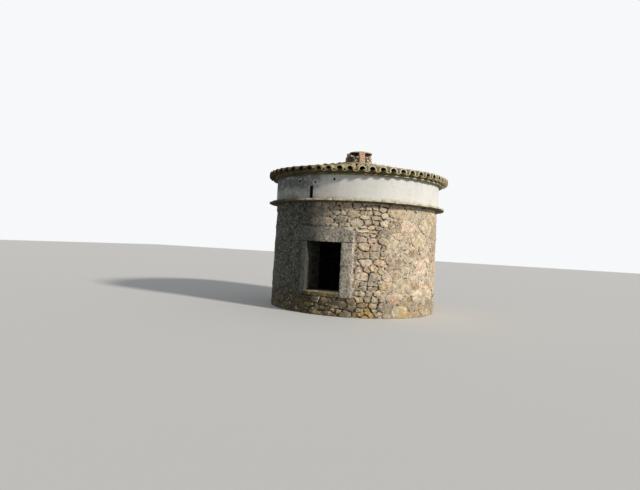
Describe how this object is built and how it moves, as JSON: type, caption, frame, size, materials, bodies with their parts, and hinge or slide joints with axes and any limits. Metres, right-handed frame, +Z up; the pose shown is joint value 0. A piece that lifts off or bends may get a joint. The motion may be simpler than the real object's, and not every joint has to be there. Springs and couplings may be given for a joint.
{
  "type": "stone dovecote",
  "caption": "Round rubble-stone dovecote with a raised doorway, a whitewashed upper band with a flight slot, and a low cone of barrel tiles under a small capped lantern.",
  "frame": {"origin": "on the tower's axis, level with the underside of the walls", "axes": "+Z up; the doorway faces -Y; +X is to the right of someone facing the doorway"},
  "size_m": [4.6532, 4.6532, 4.0783],
  "materials": {
    "rubble_masonry": "warm granite rubble in wide cream lime mortar joints",
    "dressed_granite": "roughly dressed speckled granite, weathered",
    "slab_stone": "thin split slabs, mossy, cream on the edges",
    "limewashed_render": "limewashed plaster, grey streaks and stains",
    "clay_tile": "old clay barrel tiles with pale rims, moss and crust",
    "brick": "pinkish orange fired clay",
    "timber": "dark rough-sawn timber"
  },
  "bodies": {
    "root": {"band_beside_slot": "limewashed_render", "band_over_slot": "limewashed_render", "band_segment_1": "limewashed_render", "band_segment_2": "limewashed_render", "band_segment_3": "limewashed_render", "band_segment_4": "limewashed_render", "band_segment_5": "limewashed_render", "band_segment_6": "limewashed_render", "band_segment_7": "limewashed_render", "cap_slab": "slab_stone", "collar_ring": "timber", "cornice_slabs_even": "slab_stone", "cornice_slabs_odd": "slab_stone", "eave_filling": "limewashed_render", "inner_lintel": "dressed_granite", "jamb_left": "dressed_granite", "jamb_right": "dressed_granite", "lantern_kerb": "slab_stone", "lantern_piers": "brick", "ledge_slabs_even": "slab_stone", "ledge_slabs_odd": "slab_stone", "lintel": "dressed_granite", "rafters": "timber", "roof_boards_even": "timber", "roof_boards_odd": "timber", "sill_stone": "dressed_granite", "tile_sector_1": "clay_tile", "tile_sector_2": "clay_tile", "tile_sector_3": "clay_tile", "tile_sector_4": "clay_tile", "tile_sector_5": "clay_tile", "tile_sector_6": "clay_tile", "wall_above_door": "rubble_masonry", "wall_below_door": "rubble_masonry", "wall_beside_door_left": "rubble_masonry", "wall_beside_door_right": "rubble_masonry", "wall_plate_even": "timber", "wall_plate_odd": "timber", "wall_segment_1": "rubble_masonry", "wall_segment_2": "rubble_masonry", "wall_segment_3": "rubble_masonry", "wall_segment_4": "rubble_masonry", "wall_segment_5": "rubble_masonry", "wall_segment_6": "rubble_masonry"}
  },
  "joints": []
}
